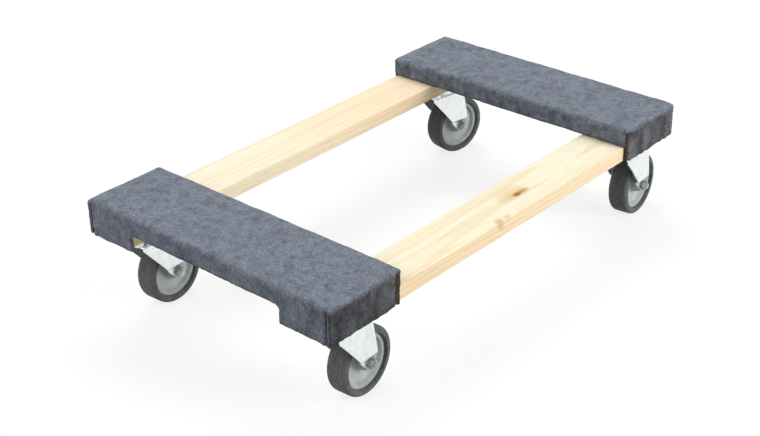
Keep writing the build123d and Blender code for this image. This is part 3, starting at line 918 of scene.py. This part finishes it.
def wheel_frame(tree, caster):
    """Object coordinates in a wheel's own frame, whose Z axis is its axle, and the distance from the axle."""
    joint = next(j for j in frame["joints"] if j["name"] == "wheel_spin_" + caster)
    heading = math.atan2(-joint["axis"][0], joint["axis"][1])
    place = node(tree, "TexCoord", out="Object")
    place = node(tree, "Mapping", {"Vector": place, "Location": joint["pos_m"],
                                   "Rotation": (math.pi / 2, 0, heading)}, vector_type="TEXTURE")
    flat = node(tree, "VectorMath", {0: place, 1: (1, 1, 0)}, operation="MULTIPLY")
    return place, node(tree, "VectorMath", {0: flat}, operation="LENGTH", out="Value")


# %% Zinc plate
BLOOM = 9.0  # mm; clouds in the plating
AXLE_SHADE_FULL, AXLE_SHADE_ENDS = 15 * MM, 19 * MM  # from the axle
AXLE_SHADE_RAGGED = 8 * MM  # how uneven the rim of the painted shade is
PRESSED = "#E4EAEA", "#F6F9F9", 0.32, 0.42  # darker and brighter tone, least and greatest roughness


def zinc_plate(name, dark, bright, low_rough, high_rough, caster=None):
    """Plated steel: a soft, cloudy mirror; on a caster, painted shade round the axle."""
    material, tree = finish(name)
    place = node(tree, "TexCoord", out="Object")
    bloom = node(tree, "TexNoise", {"Vector": place, "Scale": per_metre(BLOOM), "Detail": 3.0})
    colour = node(tree, "ValToRGB", {"Fac": bloom}, ramp=[(0.3, dark), (0.7, bright)])
    rough = node(tree, "MapRange", {"Value": bloom, "To Min": low_rough, "To Max": high_rough})
    if caster:
        radius = wheel_frame(tree, caster)[1]
        ragged = node(tree, "Math", {0: bloom, 1: AXLE_SHADE_RAGGED}, operation="MULTIPLY")
        radius = node(tree, "Math", {0: ragged, 1: radius}, operation="ADD")
        axle_shade = node(tree, "MapRange", {"Value": radius, "From Min": AXLE_SHADE_ENDS, "From Max": AXLE_SHADE_FULL})
        # painted shade round the axle, where the leg steps in under the wing
        colour = node(tree, "Mix", {SHARE: axle_shade, UNDER: colour, OVER: linear("#9DA3A4")}, **BLEND)
    surface = node(tree, "BsdfPrincipled", {"Base Color": colour, "Metallic": 1.0, "Roughness": rough})
    node(tree, "OutputMaterial", {"Surface": surface})
    return material


zinc = zinc_plate("bright zinc plated steel, pressed", *PRESSED)
# the forks' finish carries painted shade round the axle
shaded = "bright zinc plated steel, pressed, oiled at the axle, "
forks = {caster: zinc_plate(shaded + caster.replace("_", " "), *PRESSED, caster) for caster in CASTERS}
print("made", zinc.name, "and", len(forks), "oiled ones for the forks")

# %% [markdown]
# ## Small steel parts
# Bolts, nuts, screws, staples and bearings are steel too, and each was made and plated in its own way. They
# could share one finish, but then they would melt into the plates. So the same plating is made again in
# other tones and gloss.

# %% Small steel parts
# bolts that only hold the plates keep their plating: nearly as bright as the plates, with sharper edges
fastener = zinc_plate("bright zinc plated steel, cold headed", "#C4C9CA", "#E3E7E7", 0.22, 0.36)
# those that the wheels and swivels turn on are rubbed and greasy: greyer, and darker than the forks, partly as
# painted shade at the axles
hardware_worn_and_shaded = zinc_plate("zinc plated steel, cold headed, worn", "#9A9FA1", "#BFC4C5", 0.2, 0.34)
# yellow passivated screws show as small warm dots in the boards
screw = zinc_plate("yellow zinc plated steel, rolled thread", "#C3AE78", "#DCC999", 0.25, 0.4)
# staple wire goes dull and dark, and is nearly lost in the pile
wire = zinc_plate("galvanised wire, drawn, weathered", "#5C6064", "#7C8084", 0.4, 0.55)
# ground balls are small sharp mirrors
steel = zinc_plate("bearing steel, ground and greased", "#B7B9BA", "#D3D5D6", 0.08, 0.2)
# drawn tube has an even satin grey
tube = zinc_plate("steel tube, cold drawn", "#A3A5A6", "#BCBEBF", 0.25, 0.4)
print("made", ", ".join(made.name for made in (fastener, hardware_worn_and_shaded, screw, wire, steel, tube)))

# %% [markdown]
# ## Wheel cores
# Each wheel's core is moulded in grey polypropylene. A plain grey would do from afar, but a moulding shows
# how the plastic flowed, fine turning marks of its mould and dirt where it meets the rubber. These run
# round the axle, so the finish is made in the wheel's own frame.

# %% Wheel cores
TURNING, FLOW = 1.4, 16.0  # mm; real turning marks are finer, drawn coarse to show
GRIME_FROM, GRIME_FULL = 33.0 * MM, 39.3 * MM  # from the axle


def moulded_core(caster):
    """Moulded plastic has a soft gloss, faint turning marks of its mould, and dirt next to the rubber."""
    material, tree = finish("grey polypropylene, moulded, " + caster.replace("_", " "))
    place, radius = wheel_frame(tree, caster)
    flow = node(tree, "TexNoise", {"Vector": place, "Scale": per_metre(FLOW), "Detail": 3.0})
    colour = node(tree, "ValToRGB", {"Fac": flow}, ramp=[(0.3, "#ABB0B1"), (0.7, "#C2C7C8")])
    # dirt where the core meets the rubber
    shade_and_grime = node(tree, "MapRange", {"Value": radius, "From Min": GRIME_FROM, "From Max": GRIME_FULL})
    colour = node(tree, "Mix", {SHARE: shade_and_grime, UNDER: colour, OVER: linear("#A8ADAD")}, **BLEND)
    rough = node(tree, "MapRange", {"Value": flow, "To Min": 0.32, "To Max": 0.5})
    turned = node(tree, "Math", {0: radius, 1: 2 * math.pi * per_metre(TURNING)}, operation="MULTIPLY")
    turned = node(tree, "Math", {0: turned}, operation="SINE")
    marks = node(tree, "Bump", {"Height": turned, "Strength": 0.12, "Distance": 0.1 * MM})
    surface = node(tree, "BsdfPrincipled", {"Base Color": colour, "Roughness": rough, "Normal": marks})
    node(tree, "OutputMaterial", {"Surface": surface})
    return material


for caster in CASTERS:
    nodes["wheel_core_" + caster].material_slots[0].material = moulded_core(caster)
print(len(CASTERS), "cores finished")

# %% [markdown]
# ## Wheel treads
# The tread is soft, dark rubber, moulded round the core. Even black would hide its shape; real rubber is dark
# grey, scuffed and dusty. Rolling draws the scuffs out round the wheel, so the noise is sampled on
# a circle smaller than the tread's, which stretches it that way.

# %% Wheel treads
SCUFF, SCUFF_CIRCLE = 3.0, 12.0 * MM  # mm wide, on a circle a quarter of the tread's: four times as long
ROLLED_FROM, ROLLED_FULL = 48.5 * MM, 49.8 * MM  # from the axle
DUSTED_BY = 0.3  # share of dust where it lies thickest


def moulded_tread(caster):
    """Rubber is dark and nearly matt; rolling draws its scuffs out round the wheel and leaves dust on it."""
    material, tree = finish("grey thermoplastic rubber, moulded, " + caster.replace("_", " "))
    place, radius = wheel_frame(tree, caster)
    spoke = node(tree, "VectorMath", {0: place, 1: (1, 1, 0)}, operation="MULTIPLY")
    spoke = node(tree, "VectorMath", {0: spoke}, operation="NORMALIZE")
    circle = node(tree, "VectorMath", {0: spoke, "Scale": SCUFF_CIRCLE}, operation="SCALE")
    axial = node(tree, "VectorMath", {0: place, 1: (0, 0, 1)}, operation="MULTIPLY")
    drawn = node(tree, "VectorMath", {0: circle, 1: axial}, operation="ADD")
    scuff = node(tree, "TexNoise", {"Vector": drawn, "Scale": per_metre(SCUFF), "Detail": 5.0,
                                    "Roughness": 0.65})
    colour = node(tree, "ValToRGB", {"Fac": scuff}, ramp=[
        (0.3, "#535655"), (0.55, "#666967"), (0.75, "#7D807D")])
    rolled = node(tree, "MapRange", {"Value": radius, "From Min": ROLLED_FROM, "From Max": ROLLED_FULL})
    patchy = node(tree, "MapRange", {"Value": scuff, "From Min": 0.35, "From Max": 0.7, "To Max": DUSTED_BY})
    dust = node(tree, "Math", {0: rolled, 1: patchy}, operation="MULTIPLY")
    colour = node(tree, "Mix", {SHARE: dust, UNDER: colour, OVER: linear("#8C8C86")}, **BLEND)
    rough = node(tree, "MapRange", {"Value": scuff, "To Min": 0.45, "To Max": 0.75})
    grit = node(tree, "Bump", {"Height": scuff, "Strength": 0.2, "Distance": 0.4 * MM})
    surface = node(tree, "BsdfPrincipled", {"Base Color": colour, "Roughness": rough, "Normal": grit,
                                            "Specular IOR Level": 0.08})
    node(tree, "OutputMaterial", {"Surface": surface})
    return material


for caster in CASTERS:
    nodes["wheel_tread_" + caster].material_slots[0].material = moulded_tread(caster)
print(len(CASTERS), "treads finished")

# %% [markdown]
# ## Dress the rest of the frame
# Every other CAD piece has the right shape already and keeps it: only its material slot is filled, by what
# the piece is. Modelling bolts and forks again in Blender would add nothing but a chance to misplace them.

# %% Assign the finishes
dressed = {
    "left_rail": left_pine, "right_rail": right_pine,
    "front_end_board": board_pine, "back_end_board": board_pine,
    "front_carpet": pile, "back_carpet": pile, "frame_screws": screw, "carpet_staples": wire,
    "caster_bolts": fastener, "caster_washers": fastener, "caster_nuts": fastener}
for caster in CASTERS:
    on_caster = {
        "top_plate": zinc, "fork": forks[caster], "race_cap": zinc, "kingpin": hardware_worn_and_shaded,
        "axle_bolt": hardware_worn_and_shaded, "axle_nut": hardware_worn_and_shaded, "axle_sleeve": tube,
        "upper_balls": steel, "lower_balls": steel}
    dressed.update({f"{kind}_{caster}": chosen for kind, chosen in on_caster.items()})
for name, chosen in dressed.items():
    nodes[name].material_slots[0].material = chosen
print(len(dressed), "pieces dressed")
